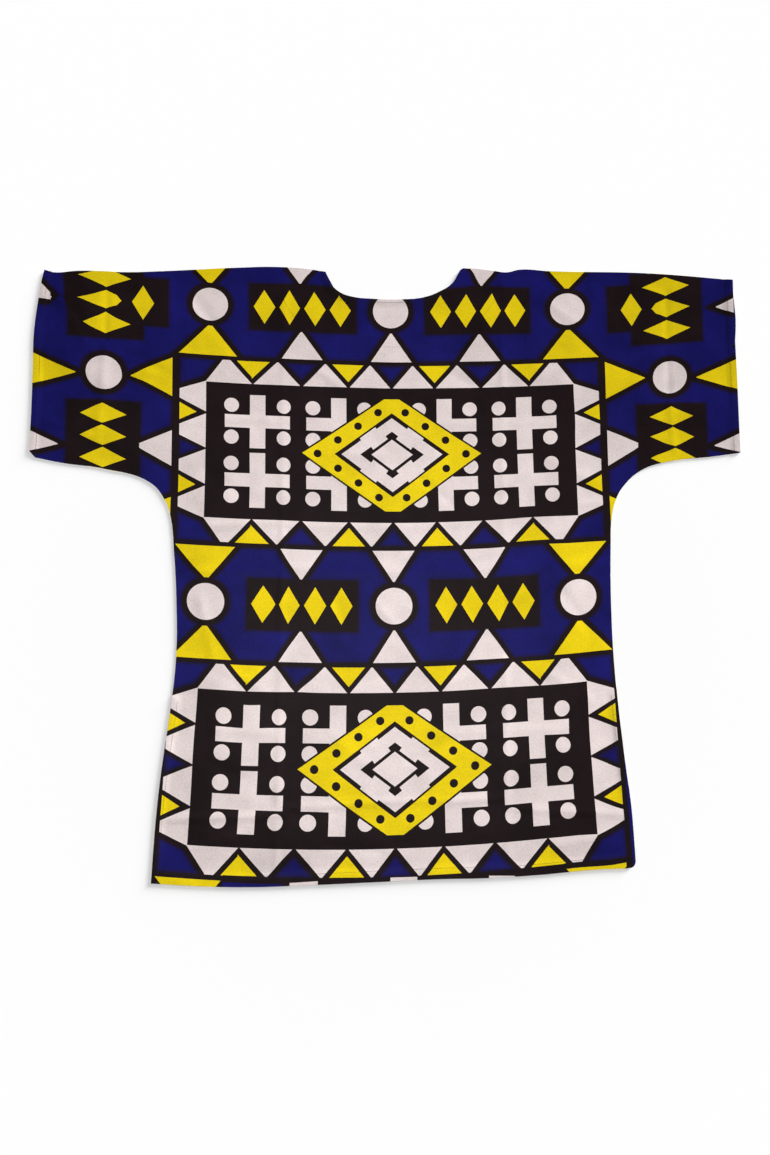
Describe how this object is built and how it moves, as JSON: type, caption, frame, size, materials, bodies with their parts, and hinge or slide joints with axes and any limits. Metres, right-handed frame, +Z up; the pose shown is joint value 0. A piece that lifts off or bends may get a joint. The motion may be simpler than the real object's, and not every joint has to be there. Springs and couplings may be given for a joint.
{
  "type": "dashiki shirt laid flat",
  "caption": "Short-sleeved kimono-cut dashiki shirt laid flat, back side up: a back panel lying on a front panel, scoop neck, sleeves grown on, side vents at the hem.",
  "frame": {"origin": "middle of the shirt's outline, on the surface that it lies on", "axes": "+X from sleeve to sleeve, +Y from hem to neck, +Z up off the surface"},
  "size_m": [0.9036, 0.7648, 0.0066],
  "materials": {
    "printed_cotton_back": "printed plain-weave cotton with a faint wax sheen",
    "printed_cotton_front": "printed plain-weave cotton with a faint wax sheen"
  },
  "bodies": {
    "root": {"back_panel": "printed_cotton_back", "front_panel": "printed_cotton_front"}
  },
  "joints": []
}
